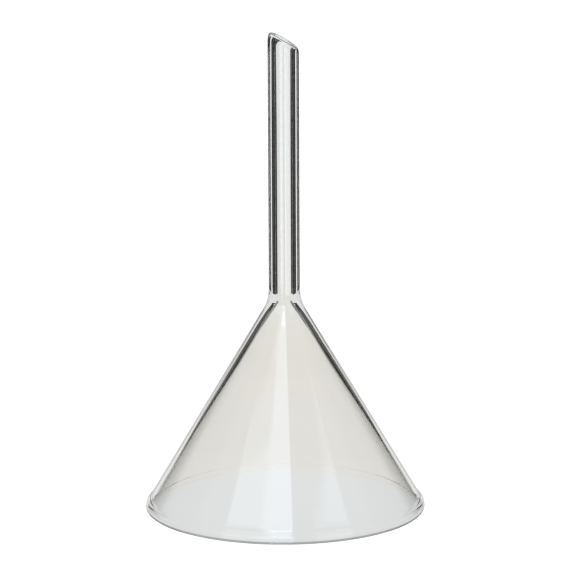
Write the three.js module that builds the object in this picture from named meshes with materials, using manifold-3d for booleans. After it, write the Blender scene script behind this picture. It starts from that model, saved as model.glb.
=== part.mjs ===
// Laboratory filter funnel in clear borosilicate glass, 75 mm across the rim.
//
// The funnel stands inverted on its rim: the cone opens downwards, the stem
// points up and ends in a slanted drip tip. Two glass pieces are fused end to
// end: a cone with a beaded rim and a neck, and a length of heavy-wall tubing.
//
// Millimetres, +Z up. The origin is the centre of the circle the rim rests on,
// +Z runs along the axis to the stem tip, and -X is the long side of the tip.

import * as THREE from "three";
import { mergeVertices } from "three/addons/utils/BufferGeometryUtils.js";
import Module from "manifold-3d";

// ---- driving dimensions ----------------------------------------------------

const RIM_R = 37.5; // outermost radius of the rim bead
const RIM_MAX_Z = 0.6; // height of that widest circle
const REST_R_IN = 36.62; // the narrow flat ring the rim stands on
const REST_R_OUT = 37.02;
const BEAD_TOP_Z = 3.4; // where the bead's shoulder runs out into the cone
const BEAD_INNER_TOP_Z = 4.4; // the same on the inside

const CONE_HALF_ANGLE = THREE.MathUtils.degToRad(30.67); // nominal 60 degree cone
const CONE_R0 = 37.98; // outer cone surface carried down to z = 0

const STEM_R = 4.125; // outer radius of the stem tubing
const BORE_R = 2.39; // radius of the bore through the stem
const NECK_R_OUT = 11.7; // outside radius of the sweep from cone to stem
const NECK_R_IN = 1.5; // inside radius, where the bore opens into the cone
const NECK_LINE_Z = 55.5; // height at which the inner wall's line meets that arc
const NECK_LINE_HALF = 0.8; // that line's slope is taken this far above and below
const SEAM_Z = 60.5; // plane where the cone's neck is fused to the tubing

const TIP_Z = 128.6; // top of the long side of the tip
const TIP_SLANT = THREE.MathUtils.degToRad(30); // tip cut, from the horizontal
const WASTE_SIZE = 60; // edge of the block that cuts the tip

// Wall stations nearer than this to the neck arc or the bead are left out.
const NECK_CLEARANCE = 0.4;
const BEAD_CLEARANCE = 1;

const AROUND = 72; // facets round the axis, shared by both pieces
const NECK_STEPS_OUT = 7; // segments along the outside neck arc
const NECK_STEPS_IN = 4; // segments along the inside neck arc

// ---- cone wall -------------------------------------------------------------

// [height, wall thickness square to the cone's surface], upwards from the rim.
// The wall is thin at the rim and gathers towards the neck.
const CONE_WALLS = [
  [0, 1.33],
  [14, 1.335],
  [18.6, 1.36],
  [24, 1.43],
  [29, 1.55],
  [35, 1.73],
  [39.4, 1.83],
  [43.5, 1.87],
  [50, 1.885],
  [51.5, 1.93],
  [54, 2.02],
  [56.5, 2.11],
];

// Radius lost by the outer cone surface for each millimetre of height.
const OUTER_FALL = Math.tan(CONE_HALF_ANGLE);

const coneOuterR = (z) => CONE_R0 - z * OUTER_FALL;

// Wall thickness at a height, interpolated between the stations.
function coneWall(z) {
  const above = CONE_WALLS.findIndex(([height]) => height > z);
  const [lowZ, lowWall] = CONE_WALLS[above - 1];
  const [highZ, highWall] = CONE_WALLS[above];
  return lowWall + ((highWall - lowWall) * (z - lowZ)) / (highZ - lowZ);
}

const coneInnerR = (z) => coneOuterR(z) - coneWall(z) / Math.cos(CONE_HALF_ANGLE);

// ---- rim bead --------------------------------------------------------------

// Outside of the bead as [radius, height], from the resting ring up to the cone.
const BEAD_OUTSIDE = [
  [REST_R_OUT, 0],
  [37.25, 0.07],
  [37.43, 0.26],
  [RIM_R, RIM_MAX_Z],
  [37.47, 0.95],
  [37.38, 1.35],
  [37.25, 1.72],
  [37.05, 2.08],
  [36.72, 2.46],
  [36.36, 2.9],
  [coneOuterR(BEAD_TOP_Z), BEAD_TOP_Z],
];

// Inside of the bead as [radius, height], from the cone down to the ring.
const BEAD_INSIDE = [
  [coneInnerR(BEAD_INNER_TOP_Z), BEAD_INNER_TOP_Z],
  [34.56, 3.2],
  [35.02, 2.5],
  [35.45, 1.85],
  [35.78, 1.3],
  [36.02, 0.85],
  [36.2, 0.42],
  [36.38, 0.12],
  [REST_R_IN, 0],
];

// ---- closed sections, as [radius, height] ----------------------------------

// The arc that blends a tube into a cone, from the tube down to the cone.
// The cone's radius is coneR0 at z = 0 and shrinks by fall per millimetre up.
function neckSweep({ tubeR, coneR0, fall, sweepR, steps }) {
  const fullAngle = Math.atan(fall);
  const cornerZ = (coneR0 - tubeR) / fall; // where tube and cone lines cross
  const startZ = cornerZ + sweepR * Math.tan(fullAngle / 2);
  const points = [];
  for (let i = 0; i <= steps; i++) {
    const angle = (fullAngle * i) / steps;
    points.push([
      tubeR + sweepR * (1 - Math.cos(angle)),
      startZ - sweepR * Math.sin(angle),
    ]);
  }
  return points;
}

function neckOutside() {
  return neckSweep({
    tubeR: STEM_R,
    coneR0: CONE_R0,
    fall: OUTER_FALL,
    sweepR: NECK_R_OUT,
    steps: NECK_STEPS_OUT,
  });
}

// The bore opens through a tight arc into the line of the cone's inner wall.
function neckInside() {
  const lowR = coneInnerR(NECK_LINE_Z - NECK_LINE_HALF);
  const highR = coneInnerR(NECK_LINE_Z + NECK_LINE_HALF);
  const fall = (lowR - highR) / (2 * NECK_LINE_HALF);
  return neckSweep({
    tubeR: BORE_R,
    coneR0: coneInnerR(NECK_LINE_Z) + fall * NECK_LINE_Z,
    fall,
    sweepR: NECK_R_IN,
    steps: NECK_STEPS_IN,
  });
}

// The inner wall between neck and bead, downwards through the wall stations.
function wallInside(neckEndZ) {
  return CONE_WALLS.map(([z]) => z)
    .filter((z) => z < neckEndZ - NECK_CLEARANCE && z > BEAD_INNER_TOP_Z + BEAD_CLEARANCE)
    .reverse()
    .map((z) => [coneInnerR(z), z]);
}

// Up the outside, across the fused seam and down the inside; the closing edge
// is the flat ring the rim stands on.
function bowlSection() {
  const inside = neckInside();
  const [, neckEndZ] = inside.at(-1);
  return [
    ...BEAD_OUTSIDE,
    ...neckOutside().reverse(),
    [STEM_R, SEAM_Z],
    [BORE_R, SEAM_Z],
    ...inside,
    ...wallInside(neckEndZ),
    ...BEAD_INSIDE,
  ];
}

// The tubing, longer than needed so that the tip can be cut from it.
function tubeSection() {
  const blankTop = TIP_Z + 2 * STEM_R;
  return [
    [STEM_R, SEAM_Z],
    [STEM_R, blankTop],
    [BORE_R, blankTop],
    [BORE_R, SEAM_Z],
  ];
}

// ---- solids ----------------------------------------------------------------

const wasm = await Module();
wasm.setup();

function toSolid(geometry) {
  // Normals and uvs would keep coincident vertices from merging.
  geometry.deleteAttribute("normal");
  geometry.deleteAttribute("uv");
  const merged = mergeVertices(geometry, 1e-4);
  return new wasm.Manifold(
    new wasm.Mesh({
      numProp: 3,
      vertProperties: new Float32Array(merged.attributes.position.array),
      triVerts: new Uint32Array(merged.index.array),
    }),
  );
}

// A ring-shaped solid turned about Z from a closed section.
function turned(section) {
  const points = [...section, section[0]].map(([r, z]) => new THREE.Vector2(r, z));
  const geometry = new THREE.LatheGeometry(points, AROUND);
  geometry.rotateX(Math.PI / 2); // the lathe turns about Y
  return toSolid(geometry);
}

// The waste above the tip. The block's underside is the plane of the cut: it
// passes through (-STEM_R, 0, TIP_Z) and falls away towards +X.
function tipWaste() {
  const block = new THREE.BoxGeometry(WASTE_SIZE, WASTE_SIZE, WASTE_SIZE);
  block.translate(0, 0, WASTE_SIZE / 2);
  block.rotateY(TIP_SLANT);
  block.translate(-STEM_R, 0, TIP_Z);
  return toSolid(block);
}

// ---- the two glass pieces --------------------------------------------------

function glass(name) {
  return new THREE.MeshStandardMaterial({
    name,
    color: 0xe4e7e4,
    roughness: 0.03,
    metalness: 0,
    transparent: true,
    opacity: 0.35,
  });
}

function piece(name, solid, material) {
  const { vertProperties, triVerts } = solid.getMesh();
  const geometry = new THREE.BufferGeometry();
  const positions = new Float32Array(vertProperties);
  geometry.setAttribute("position", new THREE.BufferAttribute(positions, 3));
  geometry.setIndex(new THREE.BufferAttribute(new Uint32Array(triVerts), 1));
  geometry.computeVertexNormals();
  const mesh = new THREE.Mesh(geometry, material);
  mesh.name = name;
  return mesh;
}

function coneBowl() {
  return piece("cone_bowl", turned(bowlSection()), glass("cone_glass"));
}

function stemTube() {
  const solid = turned(tubeSection()).subtract(tipWaste());
  return piece("stem_tube", solid, glass("stem_glass"));
}

const funnel = new THREE.Group();
funnel.name = "glass_funnel";
funnel.add(coneBowl(), stemTube());

export default funnel;
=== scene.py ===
"""A clear glass funnel standing on its rim on a pale floor in a bright studio.

The axis is +Z. The cone rests on z = 0 and narrows upwards into the stem, whose slanted
tip is longest towards -X. The camera is at -Y. The section is drawn in millimetres as
[radius, height] points; nodes work in metres, and degrees for directions in the room.
"""

import math

import bpy  # noqa: E402
import numpy as np  # noqa: E402
from mathutils import Matrix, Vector  # noqa: E402


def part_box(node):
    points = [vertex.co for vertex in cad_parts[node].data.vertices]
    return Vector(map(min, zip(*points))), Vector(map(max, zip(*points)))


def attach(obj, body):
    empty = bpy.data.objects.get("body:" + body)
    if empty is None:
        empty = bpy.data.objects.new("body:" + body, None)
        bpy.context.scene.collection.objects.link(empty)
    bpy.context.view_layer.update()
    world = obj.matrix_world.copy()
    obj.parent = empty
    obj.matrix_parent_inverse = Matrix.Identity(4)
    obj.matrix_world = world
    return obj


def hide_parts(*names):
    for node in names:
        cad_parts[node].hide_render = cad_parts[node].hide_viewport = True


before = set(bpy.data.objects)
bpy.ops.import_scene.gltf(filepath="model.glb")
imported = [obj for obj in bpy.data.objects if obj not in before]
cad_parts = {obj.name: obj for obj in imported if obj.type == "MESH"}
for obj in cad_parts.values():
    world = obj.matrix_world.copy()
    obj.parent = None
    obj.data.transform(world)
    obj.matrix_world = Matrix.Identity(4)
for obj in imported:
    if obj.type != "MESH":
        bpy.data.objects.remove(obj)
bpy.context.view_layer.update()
BOWL_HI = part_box("cone_bowl")[1]
TUBE_LO, TUBE_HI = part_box("stem_tube")

MM = 0.001
AROUND = 288  # steps round the axis, shared by both pieces

# ---------------------------------------------------------------- dimensions (mm)
RIM_R = BOWL_HI.x / MM  # the bead's widest radius
STEM_R = TUBE_HI.x / MM
SEAM_Z = TUBE_LO.z / MM  # where the cone's neck is fused to the tube
TIP_Z = TUBE_HI.z / MM  # top of the long side of the tip
BORE_R = 2.39

# Cone
HALF_ANGLE = math.radians(30.67)
SLOPE = math.tan(HALF_ANGLE)
CONE_R0 = 37.98  # radius of the straight outer wall carried down to z = 0
FLAT_IN, FLAT_OUT = 36.62, 37.02  # the narrow ring it rests on
BEAD_TOP_OUT, BEAD_TOP_IN = 4.4, 5.4  # heights where the bead has run into the walls
LOW_WALL_Z = 10.0  # the inner wall has wider steps below this
NECK_LINE_Z = 55.5  # the straight of the inner wall that the neck's inner arc meets
NECK_R_OUT, NECK_R_IN = 11.7, 1.5  # radii of the neck's two arcs

# [height, wall thickness square to the surface]: it gathers towards the neck
WALLS = [
    (0.0, 1.33), (8.0, 1.33), (14.0, 1.335), (18.6, 1.36), (24.0, 1.43),
    (29.0, 1.55), (35.0, 1.73), (39.4, 1.83), (43.5, 1.87), (47.5, 1.875),
    (50.0, 1.885), (51.5, 1.93), (54.0, 2.02), (56.5, 2.11),
]

# Tip: a slanted cut with rounded edges. Pairs are (short side, long side).
TIP_SLANT = math.radians(30.0)
NOSE_DOWN = (1.3, 3.0)  # how far the outer rounding reaches down the outside
NOSE_ACROSS = (1.2, 1.75)  # and across the cut
LIP_ACROSS = (0.6, 0.2)  # how far the bore's rounding reaches across the cut
LIP_DOWN = (2.0, 0.28)  # and down into the bore
LEAST_FLAT = 0.02  # flat of the cut kept between the two
NOSE_DROP = 0.73  # how much lower the crest is than the sharp corner
CUT_TOP = TIP_Z + NOSE_DROP


# ---------------------------------------------------------------- curves
# Barry-Goldman pyramid: the pair of knots each blend runs between, level by level
BLEND_KNOTS = (((0, 1), (1, 2), (2, 3)), ((0, 2), (1, 3)), ((1, 2),))


def spline(points, steps):
    """A centripetal Catmull-Rom curve through points, with steps to a span."""
    points = np.array(points, float)
    before = 2 * points[0] - points[1]
    after = 2 * points[-1] - points[-2]
    points = np.vstack([before, points, after])
    curve = []
    for i in range(len(points) - 3):
        span = points[i : i + 4]
        knots = [0.0]
        for start, end in zip(span, span[1:]):
            knots.append(knots[-1] + max(np.linalg.norm(end - start), 1e-9) ** 0.5)
        for k in range(steps):
            at = knots[1] + (knots[2] - knots[1]) * k / steps
            level = span
            for pairs in BLEND_KNOTS:
                level = [
                    (knots[hi] - at) / (knots[hi] - knots[lo]) * level[j]
                    + (at - knots[lo]) / (knots[hi] - knots[lo]) * level[j + 1]
                    for j, (lo, hi) in enumerate(pairs)
                ]
            curve.append(tuple(level[0]))
    curve.append(tuple(points[-2]))
    return curve


def line(start, end, steps):
    """steps points from start towards end, leaving end out."""
    return [
        tuple(a + (b - a) * i / steps for a, b in zip(start, end)) for i in range(steps)
    ]


def rounding(start, corner, end, steps):
    """A quadratic curve that rounds corner off, leaving end out."""
    curve = []
    for i in range(steps):
        t = i / steps
        curve.append(
            tuple(
                (1 - t) ** 2 * a + 2 * t * (1 - t) * c + t * t * b
                for a, c, b in zip(start, corner, end)
            )
        )
    return curve


def neck_arc(tube_r, cone_r0, slope, arc_r, steps):
    """The arc from a tube down into a cone, listed from the tube to the cone."""
    angle = math.atan(slope)
    corner_z = (cone_r0 - tube_r) / slope
    top_z = corner_z + arc_r * math.tan(angle / 2)
    arc = []
    for i in range(steps + 1):
        a = angle * i / steps
        arc.append((tube_r + arc_r * (1 - math.cos(a)), top_z - arc_r * math.sin(a)))
    return arc


# ---------------------------------------------------------------- mesh
def sweep(name, sections, seam_at):
    """A closed ring through one section at each step round the axis.

    seam_at is the index of the section's span that is the fused seam. It takes the second
    material, and its edges are sharp, so that the walls keep their own normals there.
    """
    spans = len(sections[0])
    verts, faces = [], []
    for j in range(spans):
        above = (j + 1) % spans
        for i in range(AROUND):
            angle = 2 * math.pi * i / AROUND
            r, z = sections[i][j]
            verts.append((r * MM * math.cos(angle), r * MM * math.sin(angle), z * MM))
            q = (i + 1) % AROUND
            faces.append(
                (j * AROUND + i, j * AROUND + q, above * AROUND + q, above * AROUND + i)
            )
    mesh = bpy.data.meshes.new(name)
    mesh.from_pydata(verts, [], faces)
    mesh.polygons.foreach_set("use_smooth", [True] * len(faces))
    for face in mesh.polygons[seam_at * AROUND : (seam_at + 1) * AROUND]:
        face.material_index = 1
        for loop in face.loop_indices:
            mesh.edges[mesh.loops[loop].edge_index].use_edge_sharp = True
    mesh.update()
    ob = bpy.data.objects.new(name, mesh)
    bpy.context.scene.collection.objects.link(ob)
    return ob


# ---------------------------------------------------------------- cone
WALL_CURVE = np.array(spline(WALLS, steps=8))


def outer_r(z):
    return CONE_R0 - z * SLOPE


def inner_r(z):
    wall = float(np.interp(z, WALL_CURVE[:, 0], WALL_CURVE[:, 1]))
    return outer_r(z) - wall / math.cos(HALF_ANGLE)


# The bead round the rim: outside going up, then inside going down
BEAD_OUT = [
    (FLAT_OUT, 0.0), (37.25, 0.07), (37.43, 0.26), (RIM_R, 0.58), (37.47, 0.95),
    (37.38, 1.35), (37.25, 1.72), (37.05, 2.08), (36.72, 2.46), (36.36, 2.9),
    (outer_r(3.4), 3.4), (outer_r(BEAD_TOP_OUT), BEAD_TOP_OUT),
]
BEAD_IN = [
    (inner_r(BEAD_TOP_IN), BEAD_TOP_IN), (inner_r(4.4), 4.4), (34.56, 3.2),
    (35.02, 2.5), (35.45, 1.85), (35.78, 1.3), (36.02, 0.85), (36.2, 0.42),
    (36.38, 0.12), (FLAT_IN, 0.0),
]


def make_cone():
    neck_out = neck_arc(STEM_R, CONE_R0, SLOPE, NECK_R_OUT, steps=28)[::-1]
    inner_slope = (inner_r(NECK_LINE_Z - 1.0) - inner_r(NECK_LINE_Z + 1.0)) / 2
    inner_r0 = inner_r(NECK_LINE_Z) + inner_slope * NECK_LINE_Z
    neck_in = neck_arc(BORE_R, inner_r0, inner_slope, NECK_R_IN, steps=20)

    outside = spline(BEAD_OUT, steps=6)[:-1]
    outside += line(BEAD_OUT[-1], neck_out[0], steps=60)
    outside += neck_out + [(STEM_R, SEAM_Z)]

    inside = [(BORE_R, SEAM_Z)] + neck_in
    inside += [(inner_r(z), z) for z in np.linspace(neck_in[-1][1], LOW_WALL_Z, 110)[1:]]
    inside += line((inner_r(LOW_WALL_Z), LOW_WALL_Z), BEAD_IN[0], steps=6)[1:]
    inside += spline(BEAD_IN, steps=6)

    # the splines may not swing past the rim's radius or the floor
    section = [(min(r, RIM_R), max(z, 0.0)) for r, z in outside]
    section += [(r, max(z, 0.0)) for r, z in inside]
    return sweep("cone_bowl_glass", [section] * AROUND, seam_at=len(outside) - 1)


# ---------------------------------------------------------------- stem
def grade(ends, share):
    return ends[0] + (ends[1] - ends[0]) * share


def cut_point(r, angle):
    """Where the slanted cut meets radius r."""
    return r, CUT_TOP - (r * math.cos(angle) + STEM_R) * math.tan(TIP_SLANT)


def stem_section(angle):
    """Up the outside at this angle, over the cut and down the bore."""
    longness = (1 - math.cos(angle)) / 2  # 1 on the long side, 0 on the short side
    lip = grade(LIP_ACROSS, longness)
    lip_down = grade(LIP_DOWN[::-1], (1 - longness) ** 2)
    outer, inner = cut_point(STEM_R, angle), cut_point(BORE_R, angle)
    run, rise = inner[0] - outer[0], inner[1] - outer[1]
    length = math.hypot(run, rise)
    run, rise = run / length, rise / length
    across = min(grade(NOSE_ACROSS, longness), length - lip - LEAST_FLAT)

    nose_start = (STEM_R, outer[1] - grade(NOSE_DOWN, longness * longness))
    nose_end = (outer[0] + run * across, outer[1] + rise * across)
    lip_start = (inner[0] - run * lip, inner[1] - rise * lip)
    lip_end = (BORE_R, inner[1] - lip_down)

    section = line((STEM_R, SEAM_Z), nose_start, steps=60)
    section += rounding(nose_start, outer, nose_end, steps=14)
    section += line(nose_end, lip_start, steps=4)
    section += rounding(lip_start, inner, lip_end, steps=14)
    section += line(lip_end, (BORE_R, SEAM_Z), steps=60)
    return section + [(BORE_R, SEAM_Z)]


def make_stem():
    sections = [stem_section(2 * math.pi * i / AROUND) for i in range(AROUND)]
    return sweep("stem_tube_glass", sections, seam_at=len(sections[0]) - 1)


# ---------------------------------------------------------------- node helpers
class Nodes:
    """Short calls for building the node tree of a material or world, emptied first."""

    def __init__(self, owner):
        owner.use_nodes = True
        self.tree = owner.node_tree
        self.tree.nodes.clear()

    def new(self, kind, **values):
        node = self.tree.nodes.new(kind)
        for key, value in values.items():
            setattr(node, key, value)
        return node

    def put(self, socket, value):
        if isinstance(value, bpy.types.NodeSocket):
            self.tree.links.new(value, socket)
        else:
            socket.default_value = value

    def finish(self, shader, output="ShaderNodeOutputMaterial"):
        self.put(self.new(output).inputs["Surface"], shader.outputs[0])

    def math(self, op, *values, clamp=False):
        node = self.new("ShaderNodeMath", operation=op, use_clamp=clamp)
        for socket, value in zip(node.inputs, values):
            self.put(socket, value)
        return node.outputs[0]

    def vmath(self, op, *values):
        node = self.new("ShaderNodeVectorMath", operation=op)
        for socket, value in zip(node.inputs, values):
            self.put(socket, value)
        return node.outputs["Value" if op in ("DOT_PRODUCT", "LENGTH") else 0]

    def add(self, a, b):
        return self.math("ADD", a, b)

    def less(self, a, b):
        return self.math("SUBTRACT", a, b)

    def times(self, first, *others):
        for other in others:
            first = self.math("MULTIPLY", first, other)
        return first

    def ramp(self, x, lo, hi):
        """0 below lo, 1 above hi, smooth between."""
        node = self.new("ShaderNodeMapRange", interpolation_type="SMOOTHSTEP")
        self.put(node.inputs["Value"], x)
        node.inputs["From Min"].default_value = lo
        node.inputs["From Max"].default_value = hi
        return node.outputs["Result"]

    def fall(self, x, lo, hi):
        """1 below lo, 0 above hi, smooth between."""
        return self.less(1.0, self.ramp(x, lo, hi))

    def band(self, x, lo, hi, soft):
        """1 between lo and hi, 0 outside, with soft edges."""
        up = self.ramp(x, lo - soft / 2, lo + soft / 2)
        return self.less(up, self.ramp(x, hi - soft / 2, hi + soft / 2))

    def mix(self, a, b, t):
        """a where t is 0 and b where t is 1, as numbers."""
        return self.add(a, self.times(self.less(b, a), t))

    def mix_each(self, colors, others, t):
        return [self.mix(a, b, t) for a, b in zip(colors, others)]

    def rgb(self, channels):
        node = self.new("ShaderNodeCombineColor")
        for socket, value in zip(node.inputs, channels):
            self.put(socket, value)
        return node.outputs[0]

    def split(self, vector):
        node = self.new("ShaderNodeSeparateXYZ")
        self.put(node.inputs[0], vector)
        return node.outputs


# ---------------------------------------------------------------- glass
IOR = 1.474
CONE_TINT = (0.975, 0.96, 0.932)
STEM_TINT = (0.987, 1.0, 1.0)
NECK_TINT = (0.985, 0.978, 0.957)  # the gathered glass of the neck is paler
BEAD_SHADE = (0.27, 0.28, 0.28)  # the underside of the bead is in its own shade
EDGE_SHADE = (0.16, 0.17, 0.17)  # painted shade where the surface is seen edge-on
CLOUD_DEPTH = 0.05  # how far the tint wavers
RIM_MARKS = 1.5  # how much stronger the cone's marks are by the rim


def uneven(n, position, grain, detail):
    """Noise from 0 to 1 over the glass, grain cycles a metre each way."""
    noise = n.new("ShaderNodeTexNoise", noise_dimensions="3D")
    n.put(noise.inputs["Vector"], n.vmath("MULTIPLY", position, grain))
    noise.inputs["Scale"].default_value = 1.0
    noise.inputs["Detail"].default_value = detail
    noise.inputs["Roughness"].default_value = 0.45
    return noise.outputs["Fac"]


def glass(name, is_cone, edge_at, tint, grain, height):
    """Clear glass with painted shade on its edges, and under the cone's bead.

    edge_at sets the width of the painted edge shade, grain is the way the unevenness runs,
    in cycles a metre, and height is how deep it is, in metres.
    """
    mat = bpy.data.materials.new(name)
    n = Nodes(mat)
    shader = n.new("ShaderNodeBsdfPrincipled")
    shader.inputs["Transmission Weight"].default_value = 1.0
    shader.inputs["IOR"].default_value = IOR
    shader.inputs["Roughness"].default_value = 0.0

    geo = n.new("ShaderNodeNewGeometry").outputs
    position, normal = geo["Position"], geo["Normal"]
    from_axis = n.vmath("MULTIPLY", position, (1, 1, 0))
    radius = n.math("DIVIDE", n.vmath("LENGTH", from_axis), MM)  # in mm
    facing = n.vmath("DOT_PRODUCT", geo["Incoming"], normal)
    outward = n.vmath("DOT_PRODUCT", normal, n.vmath("NORMALIZE", from_axis))
    z = n.split(position)[2]

    # outer surfaces, and the polished end all round
    tip = n.ramp(z, lo=0.1225, hi=0.1245)
    outward = n.math("MAXIMUM", n.ramp(outward, lo=0.0, hi=0.2), tip)
    outward = n.times(outward, n.less(1.0, geo["Backfacing"]))

    # painted shade where the surface is seen edge-on: scaled by the root of the radius, it
    # is equally wide at every height
    least_radius = 4.0
    facing = n.times(facing, n.math("SQRT", n.math("MAXIMUM", radius, least_radius)))
    facing = n.math("DIVIDE", facing, n.add(1.0, tip))
    edge = n.times(n.fall(facing, lo=edge_at * 0.78, hi=edge_at * 1.12), outward)
    if is_cone:
        edge = n.times(edge, n.ramp(radius, lo=4.6, hi=6.2))
        # painted shade on the downward-facing underside of the bead, by the rim's foot
        down = n.vmath("DOT_PRODUCT", normal, (0, 0, -1))
        under = n.ramp(down, lo=-0.2, hi=0.0)
        foot = n.ramp(radius, lo=36.4, hi=37.0)
        tint = n.mix_each(tint, BEAD_SHADE, n.times(under, foot, outward))

    # marks in the surface, and broader clouds in the tint
    marks = uneven(n, position, grain, detail=2.0)
    cloud_grain = [g * 0.31 + 7 for g in grain]
    clouds = uneven(n, position, cloud_grain, detail=3.0)
    clouds = n.times(n.less(clouds, 0.5), CLOUD_DEPTH)
    if is_cone:
        tint = n.mix_each(tint, NECK_TINT, n.ramp(z, lo=0.044, hi=0.058))
    tint = [n.math("SUBTRACT", c, clouds, clamp=True) for c in tint]
    n.put(shader.inputs["Base Color"], n.rgb(n.mix_each(tint, EDGE_SHADE, edge)))

    if is_cone:
        by_rim = n.fall(z, lo=0.002, hi=0.012)
        marks = n.times(marks, n.add(1.0, n.times(by_rim, RIM_MARKS)))
    bump = n.new("ShaderNodeBump")
    bump.inputs["Strength"].default_value = 1.0
    bump.inputs["Distance"].default_value = height
    n.put(bump.inputs["Height"], marks)
    n.put(shader.inputs["Normal"], bump.outputs[0])
    n.finish(shader)
    return mat


def seam_material():
    """Lets light cross the seam as through one glass."""
    mat = bpy.data.materials.new("fused_seam")
    n = Nodes(mat)
    n.finish(n.new("ShaderNodeBsdfTransparent"))
    return mat


bowl = make_cone()
tube = make_stem()

# rings round the cone, lines along the stem
cone_glass = glass(
    "cone_glass", is_cone=True, edge_at=0.9, tint=CONE_TINT, grain=(25, 25, 260), height=8e-6
)
stem_glass = glass(
    "stem_glass", is_cone=False, edge_at=0.55, tint=STEM_TINT, grain=(1300, 1300, 9),
    height=1.2e-6,
)
fused = seam_material()
for ob, mat in ((bowl, cone_glass), (tube, stem_glass)):
    ob.data.materials.append(mat)
    ob.data.materials.append(fused)

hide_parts("cone_bowl")
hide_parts("stem_tube")
for ob in (bowl, tube):
    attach(ob, "root")

# ---------------------------------------------------------------- room
scene = bpy.context.scene

SEEN_WHITE = 1.05  # what the camera sees directly, whatever the glass sees
PAPER_MID = (0.799, 0.798, 0.770)
PAPER_FAR = (0.795, 0.808, 0.795)  # the upper end of the sweep
PAPER_NEAR = (0.794, 0.800, 0.794)  # the table, a few hand's widths away
PAPER_LEFT, PAPER_RIGHT = -22.1, 19.7  # azimuths that the lit backdrop fills
PAPER_SOFT = 3.2  # half the width of its soft sides
LIGHT_RGB = (0.92, 1.10, 1.28)
ROOM_RGB = (0.99, 0.96, 0.96)


def look_direction(n):
    """Azimuth from straight ahead, positive to the camera's right, and elevation."""
    geo = n.new("ShaderNodeNewGeometry")
    look = n.vmath("SCALE", geo.outputs["Incoming"])
    look.node.inputs["Scale"].default_value = -1.0
    ahead = n.new(
        "ShaderNodeVectorTransform",
        vector_type="VECTOR", convert_from="CAMERA", convert_to="WORLD",
    )
    ahead.inputs[0].default_value = (0, 0, 1)
    forward = n.vmath("NORMALIZE", n.vmath("MULTIPLY", ahead.outputs[0], (1, 1, 0)))
    right = n.vmath("CROSS_PRODUCT", forward, (0, 0, 1))
    x, y, z = [n.vmath("DOT_PRODUCT", look, axis) for axis in (right, forward, (0, 0, 1))]
    azimuth = n.math("DEGREES", n.math("ARCTAN2", x, y))
    return azimuth, n.math("DEGREES", n.math("ARCSINE", z))


def room_tone(n, azimuth, around, el):
    """The room beyond the paper: dark at the sides, pale behind the camera."""
    aside = n.math("ABSOLUTE", azimuth)
    behind = n.ramp(aside, lo=82.0, hi=104.0)
    sides = n.times(n.ramp(aside, lo=41.0, hi=55.0), n.ramp(el, lo=3.0, hi=9.0))
    upper = n.times(n.ramp(el, lo=16.0, hi=21.0), n.fall(aside, lo=50.0, hi=58.0))
    sides = n.times(sides, n.less(1.0, upper))
    dark, flank, side_wall, back_wall, ceiling, table = 0.018, 0.2, 0.5, 0.75, 0.8, 2.0
    tone = n.mix(dark, flank, n.ramp(aside, lo=74.0, hi=84.0))
    tone = n.mix(tone, side_wall, sides)
    tone = n.mix(tone, back_wall, n.times(behind, n.ramp(el, lo=5.0, hi=30.0)))
    tone = n.mix(tone, ceiling, n.ramp(el, lo=36.0, hi=52.0))
    low = n.fall(el, lo=-4.0, hi=2.0)
    for lo, hi, soft in ((124.0, 174.0, 6.0), (196.0, 206.0, 4.0)):
        tone = n.mix(tone, table, n.times(n.band(around, lo, hi, soft), low))
    return tone


def paper_mask(n, azimuth, el):
    """Where the pale backdrop is. The widths added to its sides are in degrees."""
    band_width, low_width, table_width = 3.4, 1.3, 80.0
    left_cut, right_cut = 3.9, 2.0
    spread = n.times(n.band(el, lo=-7.0, hi=-1.1, soft=1.2), band_width)
    spread = n.add(spread, n.times(n.fall(el, lo=-1.7, hi=-0.5), low_width))
    spread = n.add(spread, n.times(n.fall(el, lo=-33.0, hi=-27.0), table_width))
    lower = n.fall(el, lo=-9.8, hi=-7.6)
    left = n.less(spread, n.times(lower, left_cut))
    right = n.less(spread, n.times(lower, right_cut))
    left = n.add(azimuth, left)
    left = n.ramp(left, lo=PAPER_LEFT - PAPER_SOFT, hi=PAPER_LEFT + PAPER_SOFT)
    right = n.less(azimuth, right)
    right = n.ramp(right, lo=PAPER_RIGHT - PAPER_SOFT, hi=PAPER_RIGHT + PAPER_SOFT)
    return n.times(n.less(left, right), n.fall(el, lo=60.0, hi=75.0))


def softboxes(n, around, el):
    """Two softboxes behind the camera with sloping top edges, and a lamp above them."""
    # main, from straight behind round to the camera's left
    main_az, main_top, main_slope = 208.0, 47.6, 0.23
    main_bright, main_dim = 1.7, 1.05
    top = n.less(main_top, n.times(n.less(around, main_az), main_slope))
    main = n.band(around, lo=172.5, hi=239.3, soft=1.5)
    main = n.times(main, n.ramp(el, lo=24.0, hi=27.0))
    under = n.times(n.fall(n.less(el, top), lo=-0.8, hi=0.8), main_dim)
    main = n.times(main, n.mix(main_bright, under, n.ramp(around, lo=198.0, hi=210.0)))

    # second, to the camera's right
    second_az, second_top, second_slope, second_level = 116.0, 40.0, 0.105, 0.82
    second = n.band(around, lo=second_az, hi=150.5, soft=2.0)
    top = n.add(second_top, n.times(n.less(around, second_az), second_slope))
    second = n.times(second, n.fall(n.less(el, top), lo=-0.6, hi=0.6))
    second = n.times(second, n.ramp(el, lo=24.0, hi=27.0), second_level)

    lamp_level = 3.2
    lamp = n.band(around, lo=171.5, hi=199.0, soft=1.5)
    lamp = n.times(lamp, n.band(el, lo=52.4, hi=60.0, soft=0.4), lamp_level)
    return n.add(n.add(main, second), lamp)


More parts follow.
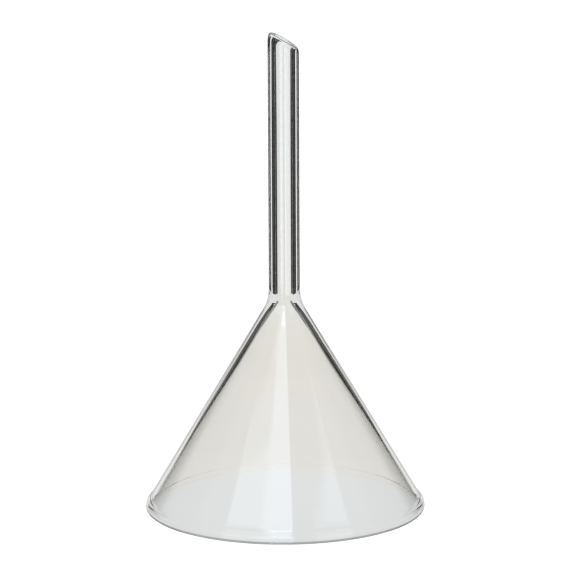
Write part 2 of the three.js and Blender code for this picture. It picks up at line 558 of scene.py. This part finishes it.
def make_world():
    world = bpy.data.worlds.new("studio")
    scene.world = world
    n = Nodes(world)
    azimuth, el = look_direction(n)
    # 0 to 360, with 180 behind the camera
    around = n.add(azimuth, n.times(n.math("LESS_THAN", azimuth, 0.0), 360.0))
    room = room_tone(n, azimuth, around, el)
    paper = paper_mask(n, azimuth, el)
    lights = softboxes(n, around, el)

    high = n.ramp(el, lo=-11.5, hi=-9.0)
    close = n.fall(el, lo=-14.4, hi=-13.2)
    tones = []
    for mid, far, near, light, wall in zip(
        PAPER_MID, PAPER_FAR, PAPER_NEAR, LIGHT_RGB, ROOM_RGB
    ):
        tone = n.mix(n.mix(mid, far, high), near, close)
        other = n.add(n.times(lights, light), n.times(room, wall))
        tones.append(n.mix(other, tone, paper))
    seen = n.new("ShaderNodeLightPath").outputs["Is Camera Ray"]
    background = n.new("ShaderNodeBackground")
    n.put(background.inputs["Color"], n.rgb([n.mix(c, SEEN_WHITE, seen) for c in tones]))
    n.finish(background, "ShaderNodeOutputWorld")


# ---------------------------------------------------------------- floor
FLOOR_R = 0.15
FLOOR_SIDES = 96
FLOOR_Z = -0.00002
SHADED_FLOOR_RGB = (0.757, 0.785, 0.803)  # painted shade on the floor inside the rim
OPEN_RGB = (0.795, 0.806, 0.806)  # and outside it
TOUCH_SHADE = 0.5  # how dark the rim's own shade is where it touches


def floor_material():
    mat = bpy.data.materials.new("pale_floor")
    n = Nodes(mat)
    emission = n.new("ShaderNodeEmission")
    seen = n.new("ShaderNodeLightPath").outputs["Is Camera Ray"]
    position = n.new("ShaderNodeNewGeometry").outputs["Position"]
    radius = n.vmath("LENGTH", n.vmath("MULTIPLY", position, (1, 1, 0)))
    # painted shade: a contact shadow where the rim touches, on the front half only, and a
    # darker floor inside the rim
    touch = n.band(radius, lo=0.0362, hi=0.0388, soft=0.0016)
    front = n.ramp(n.times(n.split(position)[1], -1.0), lo=-0.004, hi=0.012)
    shade = n.less(1.0, n.times(touch, front, TOUCH_SHADE))
    beyond = n.ramp(radius, lo=0.0362, hi=0.0380)
    far = n.ramp(radius, lo=0.075, hi=0.135)
    tones = []
    for shaded_floor, bare, near in zip(SHADED_FLOOR_RGB, OPEN_RGB, PAPER_NEAR):
        bare = n.mix(bare, near, far)
        tone = n.times(shade, n.mix(shaded_floor, bare, beyond))
        tones.append(n.mix(tone, SEEN_WHITE, seen))
    n.put(emission.inputs["Color"], n.rgb(tones))
    n.finish(emission)
    return mat


def make_floor():
    verts, faces = [(0, 0, 0)], []
    for i in range(FLOOR_SIDES):
        angle = 2 * math.pi * i / FLOOR_SIDES
        verts.append((FLOOR_R * math.cos(angle), FLOOR_R * math.sin(angle), 0))
        faces.append((0, 1 + i, 1 + (i + 1) % FLOOR_SIDES))
    mesh = bpy.data.meshes.new("floor")
    mesh.from_pydata(verts, [], faces)
    floor = bpy.data.objects.new("floor", mesh)
    floor.location = (0, 0, FLOOR_Z)
    scene.collection.objects.link(floor)
    mesh.materials.append(floor_material())


make_world()
make_floor()

# ---------------------------------------------------------------- camera
ELEVATION = math.radians(15.788)  # of the camera, seen from the rim's centre
PITCH = math.radians(12.243)  # how far it looks down
YAW, ROLL = math.radians(-0.0615), math.radians(-0.257)
DISTANCE = 0.95  # from the rim's centre

cam_data = bpy.data.cameras.new("camera")
cam_data.lens = 219.7
cam_data.sensor_width = 36.0
cam_data.clip_start, cam_data.clip_end = 0.05, 50
cam = bpy.data.objects.new("camera", cam_data)
scene.collection.objects.link(cam)
cam.location = (0, -DISTANCE * math.cos(ELEVATION), DISTANCE * math.sin(ELEVATION))
yaw = Matrix.Rotation(YAW, 4, "Z")
aim = Matrix.Rotation(math.pi / 2 - PITCH, 4, "X")
roll = Matrix.Rotation(ROLL, 4, "Z")
cam.rotation_mode = "QUATERNION"
cam.rotation_quaternion = (yaw @ aim @ roll).to_quaternion()
scene.camera = cam

# ---------------------------------------------------------------- render
scene.view_settings.view_transform = "Standard"
scene.view_settings.look = "None"
cycles = scene.cycles
cycles.filter_width = 1.2
cycles.max_bounces = 120
cycles.transmission_bounces = 110
cycles.glossy_bounces = 60
cycles.transparent_max_bounces = 24
cycles.diffuse_bounces = 2
